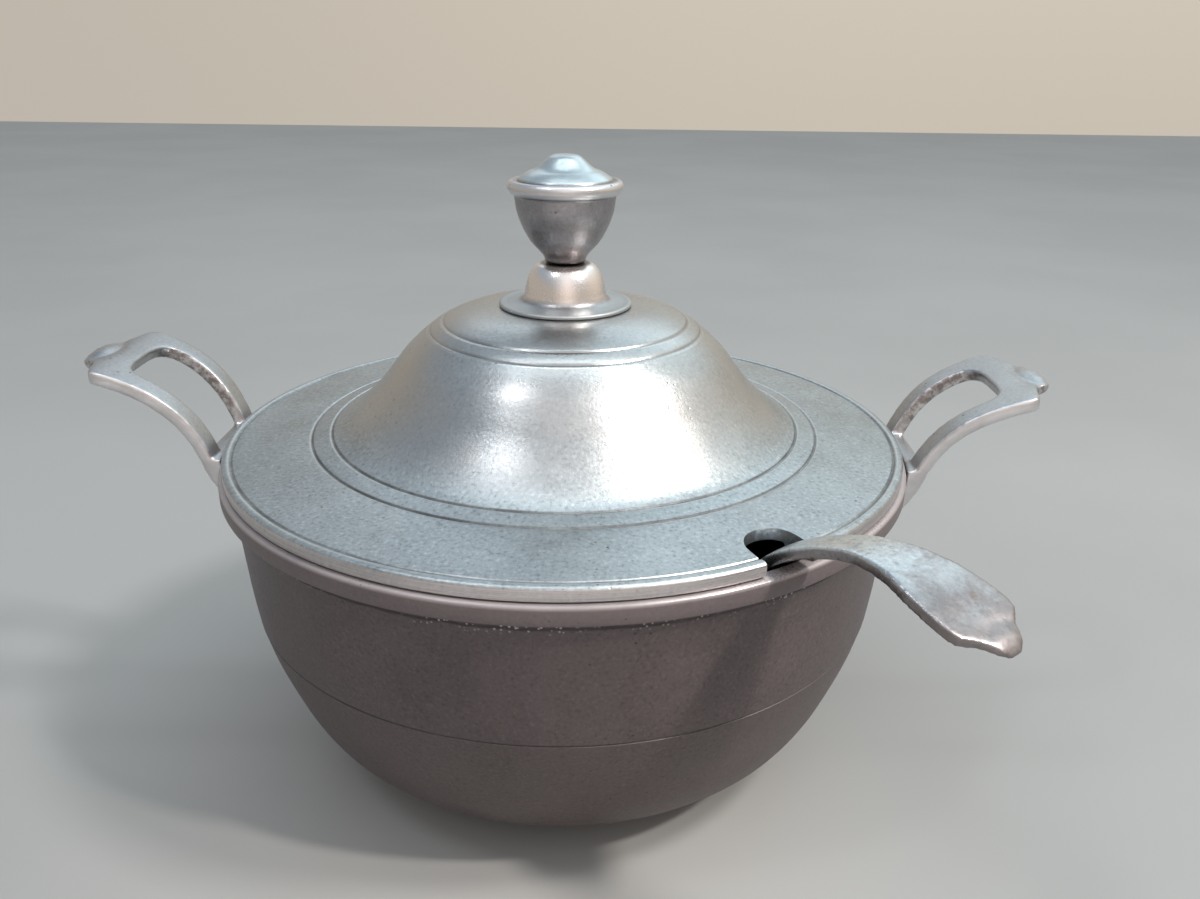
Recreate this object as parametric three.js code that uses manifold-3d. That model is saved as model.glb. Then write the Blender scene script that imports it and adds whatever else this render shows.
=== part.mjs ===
// Cast-metal soup kettle: bowl with two pierced strap handles, domed lid with a screwed urn finial and a ladle notch, and a
// one-piece ladle resting over the rim. Millimetres, +Z up, origin at the centre of the flat base, handles along +X and -X.
import * as THREE from "three";
import { mergeVertices } from "three/addons/utils/BufferGeometryUtils.js";
import Module from "manifold-3d";

// ---- driving dimensions -------------------------------------------------------------------------------------------------
const GAP = 0.3; // clearance left between touching castings
const LID_PLANE = 125.5; // height of the lid's top outer edge above the base
const LID_R = 125; // lid outer radius
const LID_EDGE = 4.4; // height of the lid's edge band
const LID_WALL = 3.6; // lid wall
const RIM_R = 126.6; // outer radius of the bowl's rim band
const RIM_TOP = LID_PLANE - LID_EDGE - 0.4; // top of the rim
const RIM_BAND = 6.4; // height of the rim band
const BOWL_WALL = 4.0; // bowl wall
const FLOOR = 4.6; // bowl floor thickness
const NOTCH_AZ = -55.4; // direction of the ladle notch, degrees
const NOTCH_HALF = 9.4; // half width of the notch
const NOTCH_END = 108.4; // radius at which the notch ends
const HANDLE_T = 5.0; // thickness of the handle plates
const LADLE_AZ = -48.9; // direction in which the ladle's handle points, degrees
const LADLE_OFFSET = -12.0; // sideways offset of the ladle's centre plane from the axis
const LADLE_T = 4.2; // thickness of the ladle's handle
const CUP_X = 27; // centre of the ladle's cup along its own direction
const CUP_R = 36; // cup rim radius
const CUP_RIM_Z = 32.5; // height of the cup's rim
const CUP_BOTTOM_Z = FLOOR + 0.5; // underside of the cup, just off the floor
const SCREW_R = 2.5; // finial screw shank
const SEG = 64; // facets round the large castings
const SEG_SMALL = 40; // facets round the finial

// ---- solids -------------------------------------------------------------------------------------------------------------
const wasm = await Module();
wasm.setup();

function solid(geometry) {
  let g = geometry.clone();
  g.deleteAttribute("normal");
  g.deleteAttribute("uv");
  g = mergeVertices(g, 1e-4);
  const triVerts = new Uint32Array(g.index.array);
  const made = new wasm.Manifold(new wasm.Mesh({ numProp: 3, vertProperties: new Float32Array(g.attributes.position.array), triVerts }));
  if (made.volume() >= 0) return made;
  for (let i = 0; i < triVerts.length; i += 3) [triVerts[i + 1], triVerts[i + 2]] = [triVerts[i + 2], triVerts[i + 1]];
  return new wasm.Manifold(new wasm.Mesh({ numProp: 3, vertProperties: new Float32Array(g.attributes.position.array), triVerts }));
}

function geometryOf(s) {
  const m = s.getMesh();
  const v = new Float32Array(m.numVert * 3);
  for (let i = 0; i < m.numVert; i++) v.set(m.vertProperties.subarray(i * m.numProp, i * m.numProp + 3), i * 3);
  const g = new THREE.BufferGeometry();
  g.setAttribute("position", new THREE.BufferAttribute(v, 3));
  g.setIndex(new THREE.BufferAttribute(new Uint32Array(m.triVerts), 1));
  g.computeVertexNormals();
  return g;
}

// A turned body: profile of [radius, height] points, closed on the axis or back on its first point.
function turned(profile, segments) {
  const g = new THREE.LatheGeometry(profile.map(([r, z]) => new THREE.Vector2(r, z)), segments);
  g.rotateX(Math.PI / 2);
  return solid(g);
}

// A plate with the outline [[a, b], ...], from height lo to hi along the third axis.
function prism(outline, lo, hi) {
  const g = new THREE.ExtrudeGeometry(new THREE.Shape(outline.map(([a, b]) => new THREE.Vector2(a, b))), { depth: hi - lo, bevelEnabled: false });
  g.translate(0, 0, lo);
  return g;
}
const planPrism = (outline, lo, hi) => solid(prism(outline, lo, hi)); // outline in x, y
function sidePrism(outline, half) {
  // outline in x, z, spread along y
  const g = prism(outline, -half, half);
  g.rotateX(Math.PI / 2);
  return solid(g);
}

const mirrored = (half) => [...half, ...half.slice().reverse().filter(([, w]) => w !== 0).map(([x, w]) => [x, -w])];

// Smooth curve through points, sampled.
function spline(points, n) {
  const c = new THREE.CatmullRomCurve3(points.map(([x, z]) => new THREE.Vector3(x, 0, z)), false, "centripetal");
  return c.getPoints(n).map((p) => [p.x, p.z]);
}
// The curve moved sideways by t, to the right of its direction of travel.
function offset(curve, t) {
  return curve.map((p, i) => {
    const a = curve[Math.max(0, i - 1)], b = curve[Math.min(curve.length - 1, i + 1)];
    const dx = b[0] - a[0], dz = b[1] - a[1], l = Math.hypot(dx, dz);
    return [p[0] + (dz / l) * t, p[1] - (dx / l) * t];
  });
}

// ---- bowl ---------------------------------------------------------------------------------------------------------------
const bowlOuter = [
  [58.2, 0], [62.5, 0.9], [72, 4.3], [80.5, 8.2], [87.5, 12.3], [94.2, 17.6], [99.7, 23.2], [105.8, 33], [110.9, 45], [115.2, 57.1], [118.0, 68.3],
  [119.6, 80], [120.6, 91.4], [121.6, 102.9], [123.2, RIM_TOP - RIM_BAND - 0.4],
];
const rimOuter = [[RIM_R - 0.5, RIM_TOP - RIM_BAND], [RIM_R, RIM_TOP - RIM_BAND + 0.6], [RIM_R, RIM_TOP - 0.7], [RIM_R - 0.7, RIM_TOP]];
const bowlInner = [
  [121.4, RIM_TOP], [119.2, RIM_TOP - 2.6], [118.4, 110], [116.8, 94], [115.2, 78], [111.8, 60], [106.4, 45.2], [100.2, 32.8], [92.4, 22.2], [81.5, 14.0], [66, 7.0], [56, FLOOR], [0, FLOOR],
];
const bowl = turned([[0, 0], ...bowlOuter, ...rimOuter, ...bowlInner], SEG);

// The space that the bowl's outside takes, with the clearance for the handles.
const bowlSpace = turned(
  [[0, -5], [70, -5], ...bowlOuter.map(([r, z]) => [r + GAP + 0.15, z]), [RIM_R + GAP + 0.15, RIM_TOP - RIM_BAND - 0.4 - 0.01], [RIM_R + GAP + 0.15, RIM_TOP + 40], [0, RIM_TOP + 40]],
  SEG,
);

// ---- handles ------------------------------------------------------------------------------------------------------------
const HANDLE_TOP = {
  right: [[127.9, -5.3], [129.6, -1.8], [131.7, 2.0], [134.2, 5.8], [137.5, 9.7], [141.6, 13.5], [146.9, 17.0], [153.6, 20.3], [161.7, 23.3], [167, 24.4], [172, 24.6], [176, 24.1], [182, 22.4]],
  left: [[127.9, -5.3], [129.6, -0.7], [131.7, 3.9], [134.2, 8.2], [137.5, 12.6], [141.6, 16.8], [146.9, 20.9], [153.6, 24.6], [161.7, 27.8], [167, 28.7], [172, 28.5], [176, 27.6], [182, 25.4]],
}; // upper face of each handle, from the rim to past the tip, heights from the lid plane; the left one stands a little higher
const handleOutline = mirrored([
  [105, 22.6], [127.9, 23.4], [141.6, 26.0], [153.6, 27.2], [162, 27.8], [165.2, 27.6], [167.2, 26.4], [168.5, 24], [169.1, 20.5], [169.6, 17], [170.4, 14.6], [172, 12.6],
  [174.4, 10.6], [176.8, 7.8], [178.2, 4.2], [178.6, 0],
]);
const handleWindow = mirrored([[112, 14.2], [130, 14.3], [141.6, 16.2], [151.4, 17.0], [154.6, 16.3], [157.0, 13.6], [158.2, 8], [158.4, 0]]);
const handlePad = mirrored([[-32, 0], [-32, 12], [-30.6, 16.5], [-27, 19.8], [-20, 21.8], [-10, 23.2], [0, 24.5], [60, 40]]); // z from the lid plane, half width

function handle(side) {
  const top = spline(HANDLE_TOP[side], 24);
  const under = offset(top, HANDLE_T);
  const leg = [[132.2, -9.5], [130.6, -14], [127.9, -19], [125.2, -23.4], [122.6, -27.4], [119.6, -31]];
  const side2d = [[112, -31], [112, top[0][1]], ...top, ...under.slice(1).reverse(), ...leg].map(([x, z]) => [x, z + LID_PLANE]);
  let s = sidePrism(side2d, 45);
  s = s.intersect(planPrism(handleOutline, -20, 260));
  s = s.subtract(planPrism(handleWindow, LID_PLANE - 5.6, 260));
  // the pad that lies on the wall narrows downwards
  const pad = prism(handlePad.map(([z, w]) => [w, z + LID_PLANE]), -220, -60); // outline in y, z after turning
  pad.rotateX(Math.PI / 2); // (w, z, depth) -> (w, -depth, z)
  pad.rotateZ(-Math.PI / 2); // -> depth along x
  s = s.intersect(solid(pad));
  s = s.subtract(bowlSpace);
  const parts = s.decompose().sort((a, b) => b.volume() - a.volume());
  const g = geometryOf(parts[0]);
  if (side === "left") g.rotateZ(Math.PI);
  return g;
}

// ---- lid ----------------------------------------------------------------------------------------------------------------
const lidTop = [
  [SCREW_R + 0.4, 48.3], [25, 48.3], [31, 47.8], [38, 46.1], [44.2, 43.6], [49.5, 40.4], [54.2, 36.7], [58.7, 32.2],
  [63.2, 26.6], [67.8, 20.7], [72.8, 15.2], [77.6, 10.9], [82, 7.3], [84.4, 5.6], [86.6, 4.7], [93.4, 3.2], [120.5, 0.35], [121.6, 0.1],
  [122.6, 0.45], [124, 0.45], [LID_R, -0.3], [LID_R, -LID_EDGE],
];
const lidUnder = [
  [117.2, -LID_EDGE], [116.9, -9.6], [113.9, -9.6], [113.3, -2.9], [93, -0.6], [85.0, 0.9], [80.0, 3.8], [74.4, 8.6], [69.4, 13.4],
  [64.4, 18.8], [60.0, 24.6], [55.6, 29.8], [50.8, 34.4], [45.0, 38.4], [38, 41.8], [29, 44.2], [SCREW_R + 0.4, 44.7],
];
const lidProfile = [...lidTop, ...lidUnder, lidTop[0]].map(([r, z]) => [r, z + LID_PLANE]);
const notchShape = mirrored([[140, NOTCH_HALF], [NOTCH_END + 8, NOTCH_HALF], [NOTCH_END + 4.6, NOTCH_HALF - 0.9], [NOTCH_END + 2.1, NOTCH_HALF - 2.8], [NOTCH_END + 0.5, NOTCH_HALF - 5.6], [NOTCH_END, 0]]);
const rad = (d) => (d * Math.PI) / 180;
const notchG = prism(notchShape, LID_PLANE - 30, LID_PLANE + 20);
notchG.rotateZ(rad(NOTCH_AZ));
const lid = turned(lidProfile, SEG).subtract(solid(notchG));

// ---- finial -------------------------------------------------------------------------------------------------------------
const up = (pts) => pts.map(([r, z]) => [r, z + LID_PLANE]);
const collarProfile = [
  [SCREW_R + 0.4, 48.6], [23.6, 48.6], [24.2, 49.0], [24.2, 49.6], [23.7, 50.0], [18, 50.5], [16.2, 51.3], [15.2, 52.6], [14.35, 54.2], [13.6, 56.4], [12.6, 59.2], [11.4, 61.7],
  [9.9, 63.4], [8.6, 63.9], [SCREW_R + 0.4, 63.9], [SCREW_R + 0.4, 48.6],
];
const collar = turned(up(collarProfile), SEG_SMALL);
const urnProfile = [
  [SCREW_R + GAP, 64.2], [7.2, 64.2], [7.6, 65.0], [7.9, 66.2], [9.3, 68.2], [12.2, 71.3], [14.1, 74.4], [16.0, 78.3], [17.3, 82.5], [17.9, 86.8], [18.3, 88.0], [19.8, 88.8],
  [20.5, 90.0], [20.5, 91.4], [20.1, 92.5], [19.2, 93.0], [17.2, 93.1], [16.5, 93.5], [12.8, 95.8], [9.8, 97.2], [7.0, 99.5], [5.6, 100.8], [4.4, 101.4], [0, 101.6], [0, 84.5], [SCREW_R + GAP, 83],
  [SCREW_R + GAP, 64.2],
];
const urn = turned(up(urnProfile), SEG_SMALL);
const washer = turned(up([[SCREW_R + GAP, 43.2], [8, 43.2], [8, 44.4], [SCREW_R + GAP, 44.4], [SCREW_R + GAP, 43.2]]), 32);
const screwBody = turned(up([[0, 39.6], [3.6, 39.6], [4.7, 40.6], [5.0, 41.8], [5.0, 42.9], [SCREW_R, 42.9], [SCREW_R, 82], [2.0, 82.6], [0, 82.6]]), 24);
const slot = planPrism([[-6, -0.6], [6, -0.6], [6, 0.6], [-6, 0.6]], LID_PLANE + 38, LID_PLANE + 40.7);
const screw = screwBody.subtract(slot);

// ---- ladle, in its own frame: x along the handle outwards, y across ------------------------------------------------------
const ladleTop = spline(
  [[58, -96.5], [64.5, -86], [72, -72.5], [84, -51.5], [95, -32.5], [102.5, -20.4], [108.8, -11.0], [114, -4.1], [118.5, 0.0], [124, 3.7], [130, 6.8], [137, 9.7], [145, 12.2], [154, 13.2],
    [163, 12.4], [172, 10.1], [181, 7.2], [189, 4.4], [195, 2.4], [198.4, 1.4]], 44);
const ladleUnder = offset(ladleTop, LADLE_T);
const ladleSide = [...ladleTop, ...ladleUnder.slice().reverse()].map(([x, z]) => [x, z + LID_PLANE]);
const ladleOutline = mirrored([
  [40, 5.6], [66, 5.6], [90, 5.7], [108, 6.0], [122, 6.4], [137, 6.8], [148, 7.7], [157, 9.5], [163, 11.0], [168, 12.4], [174, 13.3], [179.5, 13.8], [183.4, 13.4], [185.6, 12.0], [186.8, 9.8],
  [187.6, 8.0], [189.6, 6.4], [192.2, 5.2], [194.0, 3.0], [194.6, 0],
]);
const cupRise = CUP_RIM_Z - CUP_BOTTOM_Z;
function cupCurve(r, rise, bottom, n) {
  return Array.from({ length: n + 1 }, (_, i) => {
    const a = (i / n) * (Math.PI / 2);
    return [r * Math.pow(Math.sin(a), 0.82), bottom + rise * (1 - Math.pow(Math.cos(a), 1.1))];
  });
}
const cupOuter = cupCurve(CUP_R, cupRise, CUP_BOTTOM_Z, 12);
const cupInner = cupCurve(CUP_R - 2.6, cupRise - 2.6, CUP_BOTTOM_Z + 2.6, 12);
const cupShell = turned([...cupOuter, ...cupInner.slice().reverse()], 44);
const cupHollow = turned([...cupInner, [CUP_R - 2.6, CUP_RIM_Z + 24], [0, CUP_RIM_Z + 24]], 44).translate([CUP_X, 0, 0]);
const ladleBody = sidePrism(ladleSide, 30).intersect(planPrism(ladleOutline, -10, 200)).subtract(cupHollow).add(cupShell.translate([CUP_X, 0, 0]));
const ladleGeometry = geometryOf(ladleBody.decompose().sort((a, b) => b.volume() - a.volume())[0]);
ladleGeometry.translate(0, LADLE_OFFSET, 0);
ladleGeometry.rotateZ(rad(LADLE_AZ));

// ---- assembly -----------------------------------------------------------------------------------------------------------
const metal = (color, roughness) => new THREE.MeshStandardMaterial({ color, metalness: 1, roughness });
const root = new THREE.Group();
root.name = "soup_kettle";
function put(name, geometry, material) {
  const m = new THREE.Mesh(geometry, material);
  m.name = name;
  root.add(m);
}
put("bowl", geometryOf(bowl), metal(0x8f8a8a, 0.5));
put("handle_right", handle("right"), metal(0x9a989a, 0.42));
put("handle_left", handle("left"), metal(0x9a989a, 0.42));
put("lid", geometryOf(lid), metal(0xa0a5a8, 0.48));
put("finial_collar", geometryOf(collar), metal(0x9c9a9b, 0.35));
put("finial_urn", geometryOf(urn), metal(0x8d8a8d, 0.4));
put("finial_washer", geometryOf(washer), metal(0x8a8a88, 0.4));
put("finial_screw", geometryOf(screw), metal(0x7f7f7d, 0.4));
put("ladle", ladleGeometry, metal(0x959698, 0.38));

export default root;
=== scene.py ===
# Looks of the soup kettle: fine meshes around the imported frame, procedural metals, a pale studio and the camera.
import math

import bmesh
import bpy
import numpy as np
from mathutils import Matrix, Vector


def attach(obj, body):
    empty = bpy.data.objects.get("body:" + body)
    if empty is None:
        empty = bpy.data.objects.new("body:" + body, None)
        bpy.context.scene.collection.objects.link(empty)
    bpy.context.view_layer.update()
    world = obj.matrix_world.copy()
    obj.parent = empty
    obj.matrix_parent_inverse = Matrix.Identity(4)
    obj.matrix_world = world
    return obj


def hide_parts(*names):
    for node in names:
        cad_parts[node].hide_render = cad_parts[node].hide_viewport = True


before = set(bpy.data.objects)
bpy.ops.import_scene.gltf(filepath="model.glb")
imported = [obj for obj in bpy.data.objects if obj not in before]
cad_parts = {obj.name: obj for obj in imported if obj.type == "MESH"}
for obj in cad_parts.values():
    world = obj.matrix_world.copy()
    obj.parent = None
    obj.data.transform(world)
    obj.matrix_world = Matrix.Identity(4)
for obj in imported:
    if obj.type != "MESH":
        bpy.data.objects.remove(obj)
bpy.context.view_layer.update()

MM = 0.001
LID_PLANE = 125.5
LID_R = 125.0
LID_EDGE = 4.4
RIM_R = 126.6
RIM_TOP = LID_PLANE - LID_EDGE - 0.4
RIM_BAND = 6.4
scene = bpy.context.scene


# ---- mesh helpers -------------------------------------------------------------------------------------------------------
def make(name, verts, faces, mm=True):
    me = bpy.data.meshes.new(name)
    v = np.asarray(verts, float) * (MM if mm else 1.0)
    me.from_pydata([tuple(p) for p in v], [], [tuple(f) for f in faces])
    me.validate()
    bm = bmesh.new()
    bm.from_mesh(me)
    bmesh.ops.remove_doubles(bm, verts=bm.verts, dist=1e-6)
    bmesh.ops.recalc_face_normals(bm, faces=bm.faces)
    if bm.calc_volume(signed=True) < 0:
        bmesh.ops.reverse_faces(bm, faces=bm.faces)
    bm.to_mesh(me)
    bm.free()
    ob = bpy.data.objects.new(name, me)
    scene.collection.objects.link(ob)
    return ob


def smooth(ob, angle=38):
    me = ob.data
    me.polygons.foreach_set("use_smooth", [True] * len(me.polygons))
    bm = bmesh.new()
    bm.from_mesh(me)
    lim = math.radians(angle)
    for e in bm.edges:
        if len(e.link_faces) == 2:
            e.smooth = e.calc_face_angle(0.0) < lim
    bm.to_mesh(me)
    bm.free()
    me.update()
    return ob


def dense(points, step):
    """Smooth curve through the points (centripetal spline), sampled about every step."""
    P = np.array(points, float)
    d = np.r_[0, np.cumsum(np.sqrt(np.linalg.norm(np.diff(P, axis=0), axis=1)))]
    n = len(P)
    m = np.zeros_like(P)
    for i in range(n):
        if i == 0:
            m[i] = (P[1] - P[0]) / (d[1] - d[0])
        elif i == n - 1:
            m[i] = (P[-1] - P[-2]) / (d[-1] - d[-2])
        else:
            h0, h1 = d[i] - d[i - 1], d[i + 1] - d[i]
            m[i] = (h1 * (P[i] - P[i - 1]) / h0 + h0 * (P[i + 1] - P[i]) / h1) / (h0 + h1)
    out = []
    for i in range(n - 1):
        h = d[i + 1] - d[i]
        k = max(1, int(round(np.linalg.norm(P[i + 1] - P[i]) / step)))
        for j in range(k):
            t = j / k
            out.append(
                (2 * t**3 - 3 * t**2 + 1) * P[i] + (t**3 - 2 * t**2 + t) * h * m[i] + (-2 * t**3 + 3 * t**2) * P[i + 1] + (t**3 - t**2) * h * m[i + 1]
            )
    out.append(P[-1])
    return [tuple(p) for p in out]


def lathe(name, profile, seg, closed=False):
    """Turned body about Z. The profile starts and ends on the axis, or is closed."""
    prof = list(profile)
    ang = np.linspace(0, 2 * math.pi, seg, endpoint=False)
    ca, sa = np.cos(ang), np.sin(ang)
    verts, rows = [], []
    for r, z in prof:
        if r < 1e-5:
            rows.append([len(verts)] * seg)
            verts.append((0, 0, z))
        else:
            rows.append(list(range(len(verts), len(verts) + seg)))
            verts += [(r * c, r * s, z) for c, s in zip(ca, sa)]
    faces = []
    n = len(prof)
    for i in range(n if closed else n - 1):
        a, b = rows[i], rows[(i + 1) % n]
        for j in range(seg):
            k = (j + 1) % seg
            f = [a[j], a[k], b[k], b[j]]
            g = []
            for q in f:
                if q not in g:
                    g.append(q)
            if len(g) >= 3:
                faces.append(g)
    return make(name, verts, faces)


def loft(name, sections):
    """Closed body through closed sections of equal length (each an n x 3 array), capped at both ends."""
    n = len(sections[0])
    verts = np.vstack(sections)
    faces = []
    for i in range(len(sections) - 1):
        for j in range(n):
            k = (j + 1) % n
            faces.append([i * n + j, i * n + k, (i + 1) * n + k, (i + 1) * n + j])
    faces.append(list(range(n))[::-1])
    faces.append([(len(sections) - 1) * n + j for j in range(n)])
    return make(name, verts, faces)


def baked(ob):
    """The object with its modifiers applied."""
    deps = bpy.context.evaluated_depsgraph_get()
    me = bpy.data.meshes.new_from_object(ob.evaluated_get(deps))
    old = ob.data
    ob.modifiers.clear()
    ob.data = me
    me.name = ob.name
    bpy.data.meshes.remove(old)
    return ob


def boolean(ob, cutter, op="DIFFERENCE"):
    m = ob.modifiers.new("cut", "BOOLEAN")
    m.operation = op
    m.solver = "EXACT"
    m.object = cutter
    baked(ob)
    bpy.data.objects.remove(cutter)
    return ob


def join(name, obs):
    bm = bmesh.new()
    for o in obs:
        bm.from_mesh(o.data)
    me = bpy.data.meshes.new(name)
    bm.to_mesh(me)
    bm.free()
    for o in obs:
        bpy.data.objects.remove(o)
    ob = bpy.data.objects.new(name, me)
    scene.collection.objects.link(ob)
    return ob


def cast(ob, voxel, rounds=6, factor=0.5):
    """Fuses a body's shells into one skin and softens its edges, as casting and tumbling do."""
    m = ob.modifiers.new("skin", "REMESH")
    m.mode = "VOXEL"
    m.voxel_size = voxel * MM
    m.use_smooth_shade = True
    baked(ob)
    s = ob.modifiers.new("soft", "SMOOTH")
    s.factor = factor
    s.iterations = rounds
    baked(ob)
    me = ob.data
    me.polygons.foreach_set("use_smooth", [True] * len(me.polygons))
    me.update()
    return ob


# ---- materials ----------------------------------------------------------------------------------------------------------
def nodes_of(name):
    mat = bpy.data.materials.new(name)
    mat.use_nodes = True
    nt = mat.node_tree
    nt.nodes.clear()
    out = nt.nodes.new("ShaderNodeOutputMaterial")
    bsdf = nt.nodes.new("ShaderNodeBsdfPrincipled")
    nt.links.new(bsdf.outputs[0], out.inputs[0])
    return mat, nt, bsdf


class G:
    """Short notation for a node graph."""

    def __init__(self, nt):
        self.nt = nt
        tc = nt.nodes.new("ShaderNodeTexCoord")
        self.pos = tc.outputs["Object"]

    def new(self, kind, ins=None, **props):
        n = self.nt.nodes.new(kind)
        for k, v in props.items():
            setattr(n, k, v)
        for k, v in (ins or {}).items():
            if hasattr(v, "is_output"):
                self.nt.links.new(v, n.inputs[k])
            else:
                n.inputs[k].default_value = v
        return n

    def noise(self, scale, detail=4, rough=0.55, vec=None, dist=0.0):
        return self.new("ShaderNodeTexNoise", {"Vector": vec or self.pos, "Scale": scale, "Detail": detail, "Roughness": rough, "Distortion": dist}).outputs["Fac"]

    def voronoi(self, scale, vec=None, feature="F1", out="Distance", rand=1.0):
        return self.new("ShaderNodeTexVoronoi", {"Vector": vec or self.pos, "Scale": scale, "Randomness": rand}, feature=feature).outputs[out]

    def ramp(self, fac, lo, hi, a=0.0, b=1.0):
        return self.new("ShaderNodeMapRange", {"Value": fac, "From Min": lo, "From Max": hi, "To Min": a, "To Max": b}, clamp=True).outputs[0]

    def math(self, op, a, b=0.0, c=0.0):
        n = self.nt.nodes.new("ShaderNodeMath")
        n.operation = op
        for i, v in enumerate((a, b, c)):
            if hasattr(v, "is_output"):
                self.nt.links.new(v, n.inputs[i])
            else:
                n.inputs[i].default_value = v
        return n.outputs[0]

    def mix(self, fac, a, b):
        n = self.nt.nodes.new("ShaderNodeMix")
        n.data_type = "RGBA"
        for i, v in ((0, fac), (6, a), (7, b)):
            if hasattr(v, "is_output"):
                self.nt.links.new(v, n.inputs[i])
            else:
                n.inputs[i].default_value = v
        return n.outputs[2]

    def xyz(self):
        return self.new("ShaderNodeSeparateXYZ", {0: self.pos}).outputs

    def scaled(self, x, y, z):
        return self.new("ShaderNodeMapping", {"Vector": self.pos, "Scale": (x, y, z)}).outputs[0]

    def radial(self):
        x = self.xyz()
        return self.math("SQRT", self.math("ADD", self.math("MULTIPLY", x[0], x[0]), self.math("MULTIPLY", x[1], x[1])))

    def bump(self, height, strength, distance, normal=None):
        ins = {"Height": height, "Strength": strength, "Distance": distance}
        if normal is not None:
            ins["Normal"] = normal
        return self.new("ShaderNodeBump", ins).outputs[0]

    def pointy(self):
        return self.new("ShaderNodeNewGeometry").outputs["Pointiness"]


def metal(name, base, dark, light, rough=(0.34, 0.5), grain=1100.0, grain_mm=0.05, mottle=0.35, scratches=0.25, pits=0.0, spots=None, extra=None, speckle=0.26, metallic=1.0):
    """Cast metal: blasted grain, mottled patina, fine scratches, a few pits."""
    mat, nt, b = nodes_of(name)
    g = G(nt)
    big = g.noise(14, 5, 0.6, dist=0.4)
    mid = g.noise(46, 5, 0.65)
    fine = g.noise(grain, 3, 0.6)
    speck = g.noise(grain * 0.8, 3, 0.6)
    patina = g.math("ADD", g.math("MULTIPLY", big, 0.6), g.math("MULTIPLY", mid, 0.4))
    col = g.mix(g.ramp(patina, 0.36, 0.64), dark, light)
    col = g.mix(mottle, base, col)
    # speckle of the blasted skin
    col = g.mix(g.math("MULTIPLY", g.ramp(speck, 0.54, 0.74), speckle), col, tuple(min(1.0, c * 1.5) for c in light[:3]) + (1,))
    col = g.mix(g.math("MULTIPLY", g.ramp(speck, 0.46, 0.28), speckle * 1.2), col, tuple(c * 0.45 for c in dark[:3]) + (1,))
    # hairline scratches in two directions
    s1 = g.noise(1.0, 2, 0.5, vec=g.scaled(900, 60, 130))
    s2 = g.noise(1.0, 2, 0.5, vec=g.scaled(50, 700, 160))
    hair = g.math("MAXIMUM", g.ramp(s1, 0.70, 0.76), g.ramp(s2, 0.71, 0.77))
    hair = g.math("MULTIPLY", hair, g.ramp(g.noise(32, 3), 0.5, 0.66))
    hair = g.math("MULTIPLY", hair, scratches)
    col = g.mix(hair, col, tuple(min(1.0, c * 1.7) for c in light[:3]) + (1,))
    if spots:
        sp = g.math("MULTIPLY", g.ramp(g.noise(spots[0], 4, 0.7), 0.60, 0.70), spots[1])
        col = g.mix(sp, col, spots[2])
    height = g.math("ADD", g.math("MULTIPLY", fine, 1.0), g.math("MULTIPLY", mid, 0.9))
    height = g.math("SUBTRACT", height, g.math("MULTIPLY", hair, 0.5))
    rgh = g.math("ADD", g.ramp(patina, 0.36, 0.64, rough[0], rough[1]), g.math("MULTIPLY", g.math("SUBTRACT", fine, 0.5), 0.16))
    if pits:
        v = g.voronoi(240)
        keep = g.ramp(g.noise(26, 3), 0.54, 0.62)
        pit = g.math("MULTIPLY", g.ramp(v, 0.14, 0.06), keep)
        col = g.mix(g.math("MULTIPLY", pit, 0.75), col, tuple(c * 0.25 for c in dark[:3]) + (1,))
        height = g.math("SUBTRACT", height, g.math("MULTIPLY", pit, pits))
    if extra:
        col, rgh, height = extra(g, col, rgh, height)
    nt.links.new(col, b.inputs["Base Color"])
    nt.links.new(rgh, b.inputs["Roughness"])
    nt.links.new(g.bump(height, 0.55, grain_mm * MM), b.inputs["Normal"])
    b.inputs["Metallic"].default_value = metallic
    return mat


# ---- bowl ---------------------------------------------------------------------------------------------------------------
z0 = RIM_TOP - RIM_BAND
wall = dense(
    [(58.2, 0.0), (62.5, 0.9), (72, 4.3), (80.5, 8.2), (87.5, 12.3), (94.2, 17.6), (99.7, 23.2), (105.8, 33), (110.9, 45), (115.2, 57.1), (118.0, 67.6)], 1.6
)
seam = [(118.05, 67.9), (117.62, 68.25), (118.15, 68.6)]
wall2 = dense([(118.25, 69.0), (119.6, 80), (120.6, 91.4), (121.6, 102.9), (122.7, 110.6), (123.15, z0 - 0.9)], 1.8)
rim = [
    (123.2, z0 - 0.55), (123.5, z0 - 0.25), (124.4, z0 - 0.1), (RIM_R - 0.7, z0), (RIM_R - 0.2, z0 + 0.2), (RIM_R, z0 + 0.7), (RIM_R, z0 + 2.5), (RIM_R, RIM_TOP - 1.1),
    (RIM_R - 0.15, RIM_TOP - 0.5), (RIM_R - 0.5, RIM_TOP - 0.15), (RIM_R - 1.0, RIM_TOP), (123.4, RIM_TOP), (121.6, RIM_TOP - 0.05), (121.0, RIM_TOP - 0.5),
    (120.2, RIM_TOP - 1.5), (119.3, RIM_TOP - 2.7),
]
inner = dense(
    [(119.15, RIM_TOP - 3.2), (118.4, 110), (116.8, 94), (115.2, 78), (111.8, 60), (106.4, 45.2), (100.2, 32.8), (92.4, 22.2), (81.5, 14.0), (66, 7.0), (56, 4.7), (40, 4.6), (12, 4.6)], 3.0
)
bowl = lathe("bowl_casting", [(0, 0.0), (30, 0.0), (57.4, 0.0)] + wall + seam + wall2 + rim + inner + [(0, 4.6)], 288)
smooth(bowl, 34)

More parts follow.
